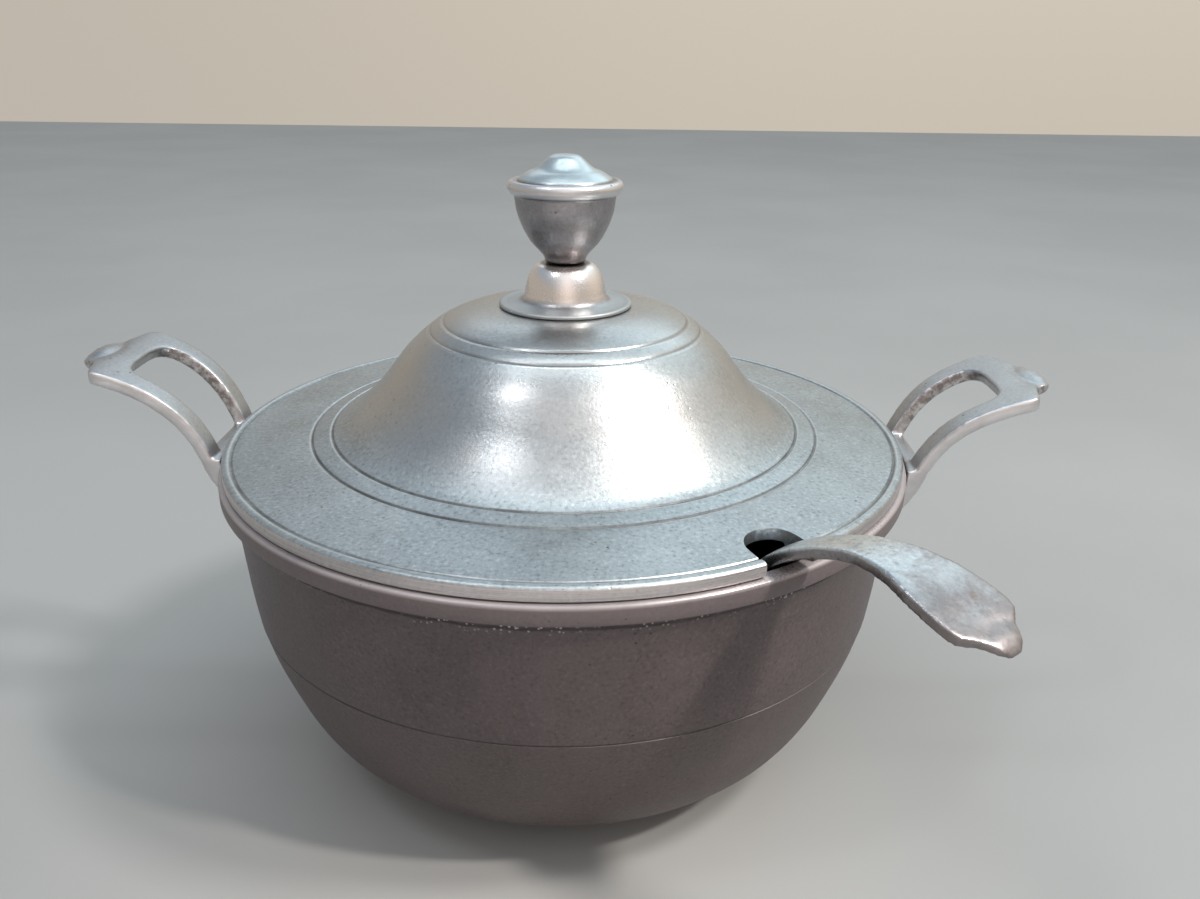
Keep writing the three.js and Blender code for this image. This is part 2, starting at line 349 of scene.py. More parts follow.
# ---- handles ------------------------------------------------------------------------------------------------------------
TOP = {
    "right": [(127.9, -5.3), (129.6, -1.8), (131.7, 2.0), (134.2, 5.8), (137.5, 9.7), (141.6, 13.5), (146.9, 17.0), (153.6, 20.3), (161.7, 23.3), (167, 24.4), (172, 24.6), (176, 24.1), (182, 22.4)],
    "left": [(127.9, -5.3), (129.6, -0.7), (131.7, 3.9), (134.2, 8.2), (137.5, 12.6), (141.6, 16.8), (146.9, 20.9), (153.6, 24.6), (161.7, 27.8), (167, 28.7), (172, 28.5), (176, 27.6), (182, 25.4)],
}
OUT_X = [105, 127.9, 141.6, 153.6, 160.5, 164.2, 166.2, 167.4, 168.3, 168.9, 169.5, 170.3, 171.5, 173.0, 174.8, 176.4, 177.6, 178.2, 178.5]
OUT_W = [22.6, 23.4, 26.0, 27.2, 27.8, 27.8, 27.0, 25.2, 22.4, 19.6, 16.9, 14.7, 13.4, 12.5, 11.4, 10.1, 8.4, 6.6, 4.2]
WIN_X = [100, 130, 141.6, 150.6, 154.2, 156.4, 157.6, 158.2, 158.4]
WIN_W = [14.2, 14.3, 16.2, 17.0, 16.4, 14.4, 11.2, 6.0, 0.3]
HANDLE_T = 5.2


def strip(name, curve, lo, hi, width, crown=0.0, bump=None, thick=None):
    """Plate along a curve of (x, z) points: lo and hi are the heights under and over the curve, width gives the half width at x."""
    c = np.array(curve, float)
    t = np.gradient(c, axis=0)
    t /= np.linalg.norm(t, axis=1)[:, None]
    nrm = np.stack([-t[:, 1], t[:, 0]], 1)  # upward normal
    us = np.linspace(-1, 1, 25)
    secs = []
    for i, (p, n) in enumerate(zip(c, nrm)):
        w = max(0.25, float(width(p[0])))
        th = lo if thick is None else -thick(p[0])
        upper, lower = [], []
        for u in us:
            h = hi + crown * (1 - u * u)
            if bump is not None:
                h += bump(p[0], u * w)
            upper.append((p[0] + n[0] * h, u * w, p[1] + n[1] * h))
            lower.append((p[0] + n[0] * th, u * w, p[1] + n[1] * th))
        secs.append(np.array(upper + lower[::-1]))
    return loft(name, secs)


def bowl_radius(z):
    prof = wall + seam + wall2 + [(RIM_R, z0), (RIM_R, RIM_TOP), (RIM_R, RIM_TOP + 60)]
    zs = np.array([p[1] for p in prof])
    rs = np.array([p[0] for p in prof])
    r = float(np.interp(z, zs, rs))
    if z > z0 - 1.2:
        r = RIM_R
    return r


def handle(side):
    curve = [(x, z + LID_PLANE) for x, z in dense(TOP[side], 0.5) if x <= 178.4]

    def lobe(x, w):
        """The rounded shell at the tip, set off from the plate by a shallow valley."""
        d = math.hypot((x - 173.9) / 5.2, w / 9.5)
        rise = 1.15 * max(0.0, 1 - d * d)
        ring = math.exp(-(((math.hypot((x - 175.4) / 7.6, w / 13.4)) - 1.0) / 0.16) ** 2)
        valley = 0.8 * ring if x < 173.5 else 0.0
        drop = 0.9 * max(0.0, (x - 174.8) / 3.6) ** 2
        flute = 0.22 * math.cos(w * 1.25) * max(0.0, 1 - abs(x - 175.5) / 4.0)
        return rise - valley - drop + flute * (abs(w) < 9)

    plate = strip("plate", curve, -HANDLE_T, -0.05, lambda x: np.interp(x, OUT_X, OUT_W), bump=lobe, thick=lambda x: np.interp(x, [100, 167, 173, 178.5], [HANDLE_T, HANDLE_T, 4.6, 3.4]))
    win = strip("win", [(x, z + LID_PLANE) for x, z in dense([(116, -24), (122, -14)] + TOP[side], 0.8) if x <= 158.35], -9.0, 6.0, lambda x: np.interp(x, WIN_X, WIN_W))
    boolean(plate, win)
    # pad on the bowl's wall, narrowing downwards, with a shelf on top
    zs = list(np.linspace(-31.6, -5.75, 44))
    PZ = [-32, -30.6, -27, -20, -10, -4]
    PW = [13.0, 16.5, 19.8, 21.8, 23.2, 23.7]
    LZ = [-31, -27.4, -23.4, -19, -14, -9.5, -7.0, -4]
    LX = [119.9, 122.6, 125.2, 127.9, 130.6, 132.2, 132.6, 133.0]
    secs = []
    for z in zs:
        zz = z + LID_PLANE
        w = float(np.interp(z, PZ, PW))
        r = bowl_radius(zz) + 0.4
        ws = np.linspace(-w, w, 27)
        inn = [(math.sqrt(max(r * r - q * q, 1.0)), q, zz) for q in ws]
        xo = float(np.interp(z, LZ, LX))
        out = [(max(xo, math.sqrt(max(r * r - q * q, 1.0)) + 0.6), q, zz) for q in ws]
        secs.append(np.array(inn + out[::-1]))
    pad = loft("pad", secs)
    root = strip("root", [(x, z) for x, z in curve if x <= 130.6], -HANDLE_T, -0.05, lambda x: np.interp(x, OUT_X, OUT_W))
    cut = strip("cut", [(x, z + LID_PLANE) for x, z in [(112, -5.65), (120, -5.65), (145, -5.65)]], 0.0, 30.0, lambda x: 14.25)
    boolean(root, cut)
    ob = join("handle_" + side + "_casting", [plate, pad, root])
    cast(ob, 0.5, 36, 0.5)
    # keep the skin off the rim and the wall
    me = ob.data
    co = np.empty(len(me.vertices) * 3)
    me.vertices.foreach_get("co", co)
    co = co.reshape(-1, 3) / MM
    rad = np.hypot(co[:, 0], co[:, 1])
    zz = np.interp(co[:, 2], [p[1] for p in wall + wall2], [p[0] for p in wall + wall2])
    zz = np.where(co[:, 2] > z0 - 1.0, RIM_R, zz) + 0.35
    push = (rad < zz) & (co[:, 2] < RIM_TOP + 3)
    co[push, :2] *= (zz[push] / rad[push])[:, None]
    if side == "left":
        co[:, :2] *= -1
    me.vertices.foreach_set("co", (co * MM).ravel())
    me.update()
    return ob


handle_right = handle("right")
handle_left = handle("left")

# ---- lid ----------------------------------------------------------------------------------------------------------------
dome = dense(
    [(24.8, 48.3), (31, 47.75), (37.5, 46.2), (42.6, 44.25), (43.9, 43.65)], 1.4
)
ring_top = [(44.25, 43.42), (44.55, 42.92), (45.0, 42.88), (45.6, 42.72)]
band_top = dense([(46.0, 42.5), (47.6, 41.6), (48.9, 40.72)], 1.0)
ring_low = [(49.25, 40.42), (49.5, 39.92), (49.95, 39.86), (50.4, 39.62)]
dome2 = dense(
    [(50.9, 39.2), (54.2, 36.5), (58.7, 32.1), (63.2, 26.55), (67.8, 20.6), (72.8, 15.1), (77.6, 10.75), (81.2, 7.75), (83.8, 5.95), (85.7, 5.0)], 1.2
)
ring_in = [(86.0, 4.86), (86.25, 4.38), (86.6, 4.3), (87.0, 4.52), (87.35, 4.56)]
ledge = dense([(87.9, 4.42), (90, 3.95), (92.9, 3.32)], 1.2)
ring_out = [(93.25, 3.2), (93.45, 2.72), (93.8, 2.66), (94.2, 2.92), (94.6, 2.96)]
brim = dense([(95.4, 2.92), (101, 2.36), (108, 1.64), (114, 1.0), (119.4, 0.45)], 2.2)
edge = [
    (120.3, 0.34), (120.9, 0.26), (121.25, -0.06), (121.6, -0.12), (121.95, 0.1), (122.3, 0.34), (122.8, 0.43), (123.4, 0.44), (124.0, 0.34), (124.5, 0.1), (124.85, -0.28),
    (124.98, -0.75), (124.98, -2.2), (124.98, -3.6), (124.85, -4.1), (124.5, -4.35), (124.0, -4.4),
]
under = [(120.2, -4.4), (117.4, -4.4), (117.1, -4.9), (116.95, -7.0), (116.85, -9.0), (116.6, -9.5), (116.1, -9.6), (114.7, -9.6), (114.1, -9.45), (113.8, -9.0), (113.5, -5.0), (113.1, -3.3), (112.4, -2.75)]
under += dense(
    [(111.5, -2.65), (93, -0.6), (88, 0.1), (85.0, 0.9), (80.0, 3.8), (74.4, 8.6), (69.4, 13.4), (64.4, 18.8), (60.0, 24.6), (55.6, 29.8), (50.8, 34.4), (45.0, 38.4), (38, 41.8), (29, 44.2), (20, 44.7), (2.95, 44.7)], 2.4
)
seat = [(2.95, 48.28), (12, 48.28), (23.5, 48.3)]
lid_profile = seat + dome + ring_top + band_top + ring_low + dome2 + ring_in + ledge + ring_out + brim + edge + under
lid = lathe("lid_casting", [(r, z + LID_PLANE) for r, z in lid_profile], 300, closed=True)

NOTCH_AZ, NOTCH_HALF, NOTCH_END = -55.4, 9.4, 108.4
half = dense([(140, NOTCH_HALF), (NOTCH_END + 8.4, NOTCH_HALF), (NOTCH_END + 5.2, NOTCH_HALF - 0.75), (NOTCH_END + 2.3, NOTCH_HALF - 2.9), (NOTCH_END + 0.6, NOTCH_HALF - 5.8), (NOTCH_END, -0.0)], 0.8)
outline = half + [(x, -w) for x, w in half[::-1][1:]]
a = math.radians(NOTCH_AZ)
ol = [(x * math.cos(a) - w * math.sin(a), x * math.sin(a) + w * math.cos(a)) for x, w in outline]
cutter = loft("notch", [np.array([(x, y, z) for x, y in ol]) for z in (LID_PLANE - 25, LID_PLANE + 15)])
boolean(lid, cutter)
bev = lid.modifiers.new("edge", "BEVEL")
bev.width = 0.45 * MM
bev.segments = 3
bev.limit_method = "ANGLE"
bev.angle_limit = math.radians(50)
bev.use_clamp_overlap = True
baked(lid)
smooth(lid, 32)

# ---- finial -------------------------------------------------------------------------------------------------------------
def at(points):
    return [(r, z + LID_PLANE) for r, z in points]


collar_profile = (
    [(2.95, 48.40), (12, 48.40), (23.3, 48.40), (23.8, 48.5), (24.1, 48.8), (24.15, 49.2), (24.0, 49.6), (23.6, 49.88), (23.0, 49.96), (22.2, 49.82)]
    + dense([(21.4, 49.72), (19.2, 49.95), (17.2, 50.3), (16.0, 50.85), (15.3, 51.7), (14.85, 53.0), (14.5, 54.6), (13.95, 56.8), (13.1, 59.3), (12.0, 61.4), (10.8, 62.75), (9.5, 63.5), (8.4, 63.85)], 0.5)
    + [(7.4, 63.9), (2.95, 63.9)]
)
collar = lathe("finial_collar_turned", at(collar_profile), 160, closed=True)
smooth(collar, 40)
urn_profile = (
    [(2.85, 64.25), (6.4, 64.25), (7.0, 64.4), (7.3, 64.8), (7.45, 65.3)]
    + dense([(7.6, 65.9), (8.1, 66.8), (9.3, 68.2), (12.15, 71.3), (14.1, 74.4), (15.95, 78.3), (17.3, 82.5), (17.85, 86.2)], 0.6)
    + [(17.95, 87.0), (18.0, 87.45), (18.3, 87.95), (18.9, 88.2)]
    + dense([(19.3, 88.35), (20.0, 89.1), (20.42, 90.2), (20.4, 91.3), (19.95, 92.3), (19.2, 92.85)], 0.4)
    + [(18.6, 92.95), (17.9, 92.85), (17.35, 92.45), (16.95, 92.5), (16.75, 92.95), (16.5, 93.45)]
    + dense([(16.0, 93.8), (14.4, 94.9), (12.6, 95.85), (11.1, 96.35), (9.8, 97.1), (8.3, 98.3), (7.0, 99.5), (5.7, 100.6), (4.3, 101.25), (2.4, 101.52)], 0.5)
    + [(0, 101.56)]
)
urn = lathe("finial_urn_turned", at([(0, 84.3), (2.3, 83.4), (2.85, 83.0)] + urn_profile), 160)
smooth(urn, 40)
washer = lathe(
    "finial_washer_turned", at([(2.85, 43.35), (3.0, 43.2), (7.8, 43.2), (8.0, 43.35), (8.0, 44.2), (7.85, 44.38), (3.0, 44.38), (2.85, 44.2)]), 96, closed=True
)
smooth(washer, 30)
thread = []
for i in range(86):
    zz = 46.0 + i * 0.4
    thread.append((2.48 if i % 2 == 0 else 2.12, zz))
screw = lathe(
    "finial_screw_turned",
    at([(0, 39.62), (2.4, 39.66), (3.7, 39.95), (4.5, 40.5), (4.9, 41.4), (5.0, 42.3), (4.95, 42.8), (4.8, 42.9), (2.5, 42.9), (2.48, 45.8)] + thread + [(2.0, 80.9), (1.6, 81.6), (0, 81.7)]),
    72,
)
cut = loft("slot", [np.array([(-6, y, z) for y, z in ((-0.6, 39.0), (0.6, 39.0), (0.6, 40.7), (-0.6, 40.7))]) + np.array([0, 0, LID_PLANE]),
                    np.array([(6, y, z) for y, z in ((-0.6, 39.0), (0.6, 39.0), (0.6, 40.7), (-0.6, 40.7))]) + np.array([0, 0, LID_PLANE])])
boolean(screw, cut)
smooth(screw, 30)

# ---- ladle --------------------------------------------------------------------------------------------------------------
LADLE_AZ, LADLE_OFFSET, LADLE_T = -48.9, -12.0, 4.2
LTOP = [
    (58, -96.5), (64.5, -86), (72, -72.5), (84, -51.5), (95, -32.5), (102.5, -20.4), (108.8, -11.0), (114, -4.1), (118.5, 0.0), (124, 3.7), (130, 6.8), (137, 9.7), (145, 12.2), (154, 13.2),
    (163, 12.4), (172, 10.1), (181, 7.2), (189, 4.4), (195, 2.4), (198.4, 1.4),
]
LX = [40, 66, 90, 108, 122, 137, 148, 157, 163, 168, 174, 179, 182.4, 184.6, 186.0, 187.0, 188.2, 189.8, 191.6, 193.0, 194.0, 194.5]
LW = [5.5, 5.5, 5.6, 5.9, 6.3, 6.7, 7.6, 9.4, 10.9, 12.3, 13.2, 13.6, 13.4, 12.6, 11.0, 9.2, 7.6, 6.4, 5.2, 4.0, 2.6, 0.6]


def ladle_lobe(x, w):
    d = math.hypot((x - 190.4) / 4.8, w / 6.0)
    rise = 0.45 * max(0.0, 1 - d * d)
    fade = max(0.0, min(1.0, (x - 150) / 30.0))
    dish = -0.5 * fade * math.cos(min(1.0, abs(w) / 13.0) * math.pi / 2) ** 2
    drop = 2.8 * max(0.0, (x - 189.0) / 5.5) ** 2
    ridge = 0.22 * math.exp(-((x - 185.8 - 0.035 * w * w) / 1.5) ** 2) * (abs(w) < 11)
    return rise + dish - drop - ridge


shaft = strip(
    "shaft", [(x, z + LID_PLANE) for x, z in dense(LTOP, 0.6) if 62.4 <= x <= 194.4], -LADLE_T + 0.1, -0.35, lambda x: np.interp(x, LX, LW), crown=0.3, bump=ladle_lobe,
    thick=lambda x: np.interp(x, [60, 120, 150, 185, 195], [4.1, 4.1, 4.0, 3.6, 3.2]),
)
CUP_R, CUP_RIM_Z, CUP_BOTTOM = 36.0, 32.5, 5.1


def cup_curve(r, rise, bottom, n):
    return [(r * math.sin(i / n * math.pi / 2) ** 0.82, bottom + rise * (1 - math.cos(i / n * math.pi / 2) ** 1.1)) for i in range(n + 1)]


co = cup_curve(CUP_R - 0.1, CUP_RIM_Z - CUP_BOTTOM, CUP_BOTTOM, 44)
ci = cup_curve(CUP_R - 2.6, CUP_RIM_Z - CUP_BOTTOM - 2.6, CUP_BOTTOM + 2.6, 40)
cup = lathe("cup", co + ci[::-1], 160)
for v in cup.data.vertices:
    v.co.x += 27.0 * MM
ladle = join("ladle_casting", [shaft, cup])
cast(ladle, 0.55, 12, 0.5)
me = ladle.data
for v in me.vertices:
    v.co.y += LADLE_OFFSET * MM
me.transform(Matrix.Rotation(math.radians(LADLE_AZ), 4, "Z"))
me.update()


# ---- finishes -----------------------------------------------------------------------------------------------------------
def c(r, g, b):
    return (r, g, b, 1.0)


def lid_extra(g, col, rgh, height):
    """Cool bare brim, darkened ring grooves, a brushed edge band and a rubbed dome."""
    x = g.xyz()
    z = x[2]
    r = g.radial()
    top = LID_PLANE * MM
    # grooves hold dark residue, their lips get a painted highlight
    for radius, w in ((0.04455, 0.00045), (0.0495, 0.00045), (0.08625, 0.0004), (0.09345, 0.0004), (0.1216, 0.0005)):
        d = g.math("ABSOLUTE", g.math("SUBTRACT", r, radius))
        line = g.ramp(d, w * 1.7, w * 0.5)
        wob = g.ramp(g.noise(60, 3), 0.35, 0.6, 0.35, 1.0)
        col = g.mix(g.math("MULTIPLY", g.math("MULTIPLY", line, wob), 0.72), col, c(0.10, 0.10, 0.105))
        # painted highlight: a bright line along the outer lip of each groove
        d2 = g.math("ABSOLUTE", g.math("SUBTRACT", r, radius + w * 2.3))
        lip_highlight = g.math("MULTIPLY", g.ramp(d2, w * 1.1, w * 0.2), 0.36)
        col = g.mix(lip_highlight, col, c(0.78, 0.80, 0.82))
        rgh = g.math("SUBTRACT", rgh, g.math("MULTIPLY", lip_highlight, 0.12))
    # brushed edge band
    band = g.math("MULTIPLY", g.ramp(r, 0.12465, 0.1248), g.ramp(z, top - 0.0002, top - 0.0006))
    streak = g.noise(1.0, 3, 0.6, vec=g.scaled(25, 25, 3800))
    col = g.mix(g.math("MULTIPLY", band, g.ramp(streak, 0.40, 0.60, 0.25, 0.9)), col, c(0.66, 0.59, 0.58))
    height = g.math("ADD", height, g.math("MULTIPLY", g.math("MULTIPLY", band, streak), 1.6))
    # the dome is rubbed smoother and warmer, the brim is greyer and blue
    ondome = g.math("MULTIPLY", g.ramp(r, 0.088, 0.078), g.ramp(z, top + 0.006, top + 0.014))
    warm = g.math("MULTIPLY", ondome, g.ramp(g.noise(18, 4), 0.38, 0.62, 0.25, 0.75))
    col = g.mix(warm, col, c(0.50, 0.475, 0.455))
    rgh = g.math("SUBTRACT", rgh, g.math("MULTIPLY", ondome, 0.10))
    rgh = g.math("SUBTRACT", rgh, g.math("MULTIPLY", band, 0.06))
    return col, rgh, height


def bowl_extra(g, col, rgh, height):
    """Rough pitted line under the rim band, the parting seam, a painted highlight on the smoother rim top and stain
    runs.
    """
    x = g.xyz()
    z = x[2]
    r = g.radial()
    under = g.math("MULTIPLY", g.ramp(z, (z0 - 5.4) * MM, (z0 - 2.6) * MM), g.ramp(z, (z0 + 0.25) * MM, (z0 - 0.1) * MM))
    outer = g.ramp(r, 0.1205, 0.1215)
    under = g.math("MULTIPLY", under, outer)
    vein = g.math("ADD", (z0 - 2.7) * MM, g.math("MULTIPLY", g.math("SUBTRACT", g.noise(90, 3), 0.5), 0.0016))
    line = g.math("MULTIPLY", g.ramp(g.math("ABSOLUTE", g.math("SUBTRACT", z, vein)), 0.00095, 0.0003), outer)
    line = g.math("MULTIPLY", line, g.ramp(g.noise(30, 4, 0.7), 0.36, 0.52, 0.45, 1.0))
    pocks = g.math("MULTIPLY", g.math("MULTIPLY", g.ramp(g.voronoi(420), 0.36, 0.16), under), g.ramp(g.noise(24, 4, 0.7), 0.44, 0.56))
    rough_line = g.math("MAXIMUM", g.math("MULTIPLY", line, 0.85), pocks)
    col = g.mix(g.math("MULTIPLY", rough_line, 0.85), col, c(0.012, 0.010, 0.010))
    height = g.math("SUBTRACT", height, g.math("MULTIPLY", rough_line, 5.0))
    glint = g.math("MULTIPLY", g.math("MULTIPLY", g.ramp(g.voronoi(640), 0.32, 0.14), under), g.ramp(g.noise(34, 3), 0.44, 0.54))
    col = g.mix(g.math("MULTIPLY", glint, 0.55), col, c(0.75, 0.70, 0.72))
    seam_line = g.math("MULTIPLY", g.ramp(g.math("ABSOLUTE", g.math("SUBTRACT", z, 0.06825)), 0.0007, 0.0002), g.ramp(g.noise(16, 3), 0.3, 0.62, 0.15, 0.75))
    col = g.mix(seam_line, col, c(0.06, 0.05, 0.05))
    # the rim band itself is a little lighter than the wall
    rimband = g.math("MULTIPLY", g.ramp(z, (z0 - 0.1) * MM, (z0 + 0.3) * MM), g.ramp(r, 0.1230, 0.1245))
    col = g.mix(g.math("MULTIPLY", rimband, 0.35), col, c(0.23, 0.19, 0.195))
    # painted highlight along the top edge of the rim band, which is also a little smoother
    lip_highlight = g.math("MULTIPLY", g.ramp(z, (RIM_TOP - 1.5) * MM, (RIM_TOP - 0.5) * MM), g.ramp(r, 0.1205, 0.1212))
    col = g.mix(g.math("MULTIPLY", lip_highlight, 0.6), col, c(0.50, 0.45, 0.45))
    rgh = g.math("SUBTRACT", rgh, g.math("MULTIPLY", lip_highlight, 0.14))
    # faint tool lines round the wall
    lines = g.noise(1.0, 2, 0.5, vec=g.scaled(6, 6, 2400))
    height = g.math("ADD", height, g.math("MULTIPLY", lines, 0.35))
    runs = g.noise(1.0, 4, 0.6, vec=g.scaled(30, 30, 5))
    col = g.mix(g.math("MULTIPLY", g.ramp(runs, 0.52, 0.7), 0.25), col, c(0.12, 0.098, 0.10))
    return col, rgh, height


def handle_extra(g, col, rgh, height):
    """Side faces and arrises get a painted highlight and a little less roughness, creases get painted shade, flat faces
    keep the blasted skin.
    """
    up = g.new("ShaderNodeSeparateXYZ", {0: g.new("ShaderNodeNewGeometry").outputs["Normal"]}).outputs
    # painted highlight: faces turned sideways are painted lighter, as if lit from the front
    side = g.ramp(g.math("ABSOLUTE", up[1]), 0.45, 0.75)
    col = g.mix(g.math("MULTIPLY", side, 0.8), col, g.mix(g.ramp(g.noise(90, 4), 0.4, 0.62), c(0.80, 0.77, 0.775), c(0.68, 0.65, 0.65)))
    rgh = g.math("SUBTRACT", rgh, g.math("MULTIPLY", side, 0.06))
    height = g.math("MULTIPLY", height, g.ramp(side, 0.0, 1.0, 1.0, 0.3))
    # painted shade: concave creases (low pointiness) are darkened
    crease_shade = g.ramp(g.pointy(), 0.47, 0.42)
    col = g.mix(g.math("MULTIPLY", crease_shade, 0.6), col, c(0.12, 0.11, 0.11))
    # the inner walls of the window keep the rough mould surface
    x = g.xyz()
    ax = g.math("ABSOLUTE", x[0])
    inside = g.math("MULTIPLY", side, g.math("MULTIPLY", g.ramp(g.math("ABSOLUTE", x[1]), 0.0205, 0.0190), g.ramp(ax, 0.130, 0.134)))
    lumps = g.noise(330, 3, 0.7)
    height = g.math("ADD", height, g.math("MULTIPLY", g.math("MULTIPLY", inside, lumps), 9.0))
    col = g.mix(g.math("MULTIPLY", inside, g.ramp(lumps, 0.60, 0.42, 0.15, 0.85)), col, c(0.20, 0.165, 0.155))
    return col, rgh, height


def finial_extra(g, col, rgh, height):
    """Turned marks, a bright ring with small dark nicks, a shiny bell."""
    x = g.xyz()
    z = x[2]
    turnmarks = g.noise(1.0, 2, 0.5, vec=g.scaled(8, 8, 5200))
    height = g.math("ADD", height, g.math("MULTIPLY", turnmarks, 0.5))
    zr = (LID_PLANE + 90.7) * MM
    ring = g.ramp(g.math("ABSOLUTE", g.math("SUBTRACT", z, zr)), 0.0028, 0.0018)
    ring = g.math("MULTIPLY", ring, g.ramp(g.radial(), 0.0180, 0.0190))
    col = g.mix(g.math("MULTIPLY", ring, 0.8), col, c(0.76, 0.735, 0.74))
    cap = g.ramp(z, (LID_PLANE + 93.0) * MM, (LID_PLANE + 93.6) * MM)
    col = g.mix(g.math("MULTIPLY", cap, 0.8), col, g.mix(g.ramp(g.noise(80, 4), 0.4, 0.6), c(0.50, 0.56, 0.58), c(0.60, 0.66, 0.68)))
    nick = g.math("MULTIPLY", g.math("MULTIPLY", g.ramp(g.voronoi(420), 0.2, 0.1), ring), g.ramp(g.noise(70, 2), 0.56, 0.62))
    col = g.mix(g.math("MULTIPLY", nick, 0.9), col, c(0.03, 0.025, 0.025))
    height = g.math("SUBTRACT", height, g.math("MULTIPLY", nick, 6.0))
    bell = g.math("MULTIPLY", g.ramp(z, (LID_PLANE + 51) * MM, (LID_PLANE + 53) * MM), g.ramp(z, (LID_PLANE + 64.2) * MM, (LID_PLANE + 63.4) * MM))
    col = g.mix(g.math("MULTIPLY", bell, 0.85), col, c(0.88, 0.815, 0.785))
    rgh = g.math("SUBTRACT", rgh, g.math("MULTIPLY", bell, 0.07))
    body = g.math("MULTIPLY", g.ramp(z, (LID_PLANE + 64) * MM, (LID_PLANE + 65) * MM), g.ramp(z, (LID_PLANE + 88.4) * MM, (LID_PLANE + 87.4) * MM))
    col = g.mix(g.math("MULTIPLY", body, 0.35), col, c(0.28, 0.25, 0.26))
    flange = g.math("MULTIPLY", g.ramp(g.radial(), 0.0158, 0.0172), g.ramp(z, (LID_PLANE + 52.2) * MM, (LID_PLANE + 51.2) * MM))
    col = g.mix(g.math("MULTIPLY", flange, 0.9), col, g.mix(g.noise(60, 4), c(0.40, 0.415, 0.42), c(0.50, 0.515, 0.52)))
    rgh = g.math("ADD", rgh, g.math("MULTIPLY", flange, 0.14))
    seam_ = g.ramp(g.math("ABSOLUTE", g.math("SUBTRACT", z, (LID_PLANE + 64.1) * MM)), 0.0006, 0.0002)
    col = g.mix(g.math("MULTIPLY", seam_, 0.8), col, c(0.05, 0.045, 0.045))
    return col, rgh, height


def ladle_extra(g, col, rgh, height):
    """Handled metal: brown stains, painted shade on the sides, dull blotches."""
    x = g.xyz()
    out = g.ramp(g.radial(), 0.150, 0.176)
    up = g.new("ShaderNodeSeparateXYZ", {0: g.new("ShaderNodeNewGeometry").outputs["Normal"]}).outputs
    # painted shade: faces that turn away from the top are darkened
    side = g.ramp(up[2], 0.45, 0.15)
    col = g.mix(g.math("MULTIPLY", out, 0.8), col, g.mix(g.ramp(g.noise(110, 4, 0.7), 0.42, 0.58), c(0.185, 0.150, 0.148), c(0.35, 0.318, 0.318)))
    col = g.mix(g.math("MULTIPLY", side, 0.6), col, c(0.20, 0.18, 0.18))
    blot = g.ramp(g.noise(44, 5, 0.7, dist=0.8), g.math("SUBTRACT", 0.54, g.math("MULTIPLY", out, 0.10)), 0.66)
    col = g.mix(g.math("MULTIPLY", blot, 0.62), col, c(0.24, 0.205, 0.205))
    rgh = g.math("ADD", rgh, g.math("MULTIPLY", blot, 0.10))
    brown = g.math("MULTIPLY", g.ramp(g.noise(120, 4, 0.7), 0.60, 0.68), g.ramp(g.noise(30, 2), 0.5, 0.6))
    col = g.mix(g.math("MULTIPLY", brown, 0.55), col, c(0.20, 0.14, 0.10))
    return col, rgh, height


M_LID = metal("cast_metal_blasted", c(0.40, 0.425, 0.435), c(0.31, 0.325, 0.335), c(0.48, 0.505, 0.515), rough=(0.36, 0.47), grain=950, grain_mm=0.12, mottle=0.65, scratches=0.16, pits=1.6, extra=lid_extra, speckle=0.46)
# painted reflection: the bowl is the same metal as the lid, its base colour is set much darker to stand for the dark
# surface it reflects
M_BOWL = metal("cast_metal_dull", c(0.090, 0.070, 0.071), c(0.067, 0.052, 0.053), c(0.116, 0.092, 0.094), rough=(0.40, 0.52), grain=1000, grain_mm=0.09, mottle=0.7, scratches=0.35, pits=2.0, extra=bowl_extra, speckle=0.42, metallic=0.34)
M_HANDLE = metal("cast_metal_handles", c(0.43, 0.435, 0.445), c(0.33, 0.325, 0.33), c(0.51, 0.515, 0.525), rough=(0.34, 0.46), grain=1200, grain_mm=0.06, mottle=0.55, scratches=0.2, pits=2.0, extra=handle_extra)
M_FINIAL = metal("turned_metal", c(0.36, 0.345, 0.35), c(0.25, 0.235, 0.24), c(0.45, 0.44, 0.445), rough=(0.29, 0.41), grain=1100, grain_mm=0.075, mottle=0.65, scratches=0.3, pits=1.6, extra=finial_extra, speckle=0.34)
M_LADLE = metal(
    "handled_metal", c(0.62, 0.655, 0.675), c(0.44, 0.45, 0.46), c(0.74, 0.78, 0.80), rough=(0.24, 0.40), grain=1000, grain_mm=0.085, mottle=0.8, scratches=0.45, pits=2.0, speckle=0.5,
    spots=(95, 0.35, c(0.22, 0.17, 0.14)), extra=ladle_extra,
)
M_STEEL = metal("plain_steel", c(0.42, 0.42, 0.41), c(0.32, 0.32, 0.31), c(0.5, 0.5, 0.49), rough=(0.28, 0.4), grain=900, grain_mm=0.03, mottle=0.5, scratches=0.3)

for ob, mat, body, node, slot_name in (
    (bowl, M_BOWL, "kettle", "bowl", "bowl_metal"),
    (handle_right, M_HANDLE, "kettle", "handle_right", "handle_metal"),
    (handle_left, M_HANDLE, "kettle", "handle_left", "handle_metal"),
    (lid, M_LID, "lid", "lid", "lid_metal"),
    (collar, M_FINIAL, "lid", "finial_collar", "finial_metal"),
    (urn, M_FINIAL, "lid", "finial_urn", "finial_metal"),
    (washer, M_STEEL, "lid", "finial_washer", "fastener_steel"),
    (screw, M_STEEL, "lid", "finial_screw", "fastener_steel"),
    (ladle, M_LADLE, "ladle", "ladle", "ladle_metal"),
):
    ob.data.materials.clear()
    ob.data.materials.append(mat)
    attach(ob, body)
    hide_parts(node)

